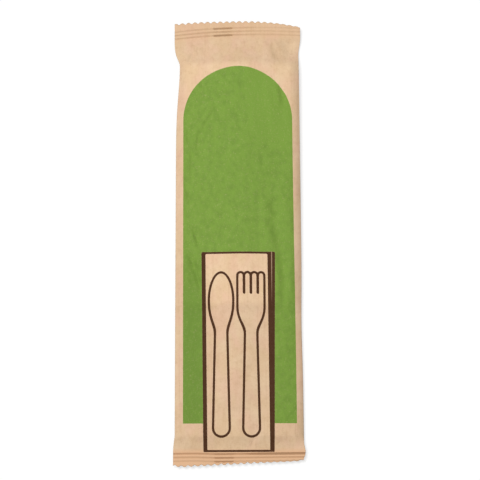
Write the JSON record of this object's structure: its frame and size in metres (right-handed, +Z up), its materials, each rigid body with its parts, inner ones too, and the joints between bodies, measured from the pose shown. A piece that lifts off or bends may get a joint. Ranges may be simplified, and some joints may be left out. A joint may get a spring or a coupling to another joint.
{
  "type": "sealed cutlery packet",
  "caption": "Flat sealed paper packet for wooden cutlery, with crimped, pinked ends, a folded back seam and a green arched panel.",
  "frame": {"origin": "on the floor under the middle of the packet, which lies on its back", "axes": "+Z up, out of the printed face; +Y towards the head end, where the arched end of the panel is; +X to the right as the printed face is read"},
  "size_m": [0.06, 0.21, 0.0086],
  "materials": {
    "kraft_paper": "matt brown kraft paper, printed with a green arched panel and dark brown lines"
  },
  "bodies": {
    "root": {"cutlery_packet": "kraft_paper"}
  },
  "joints": []
}
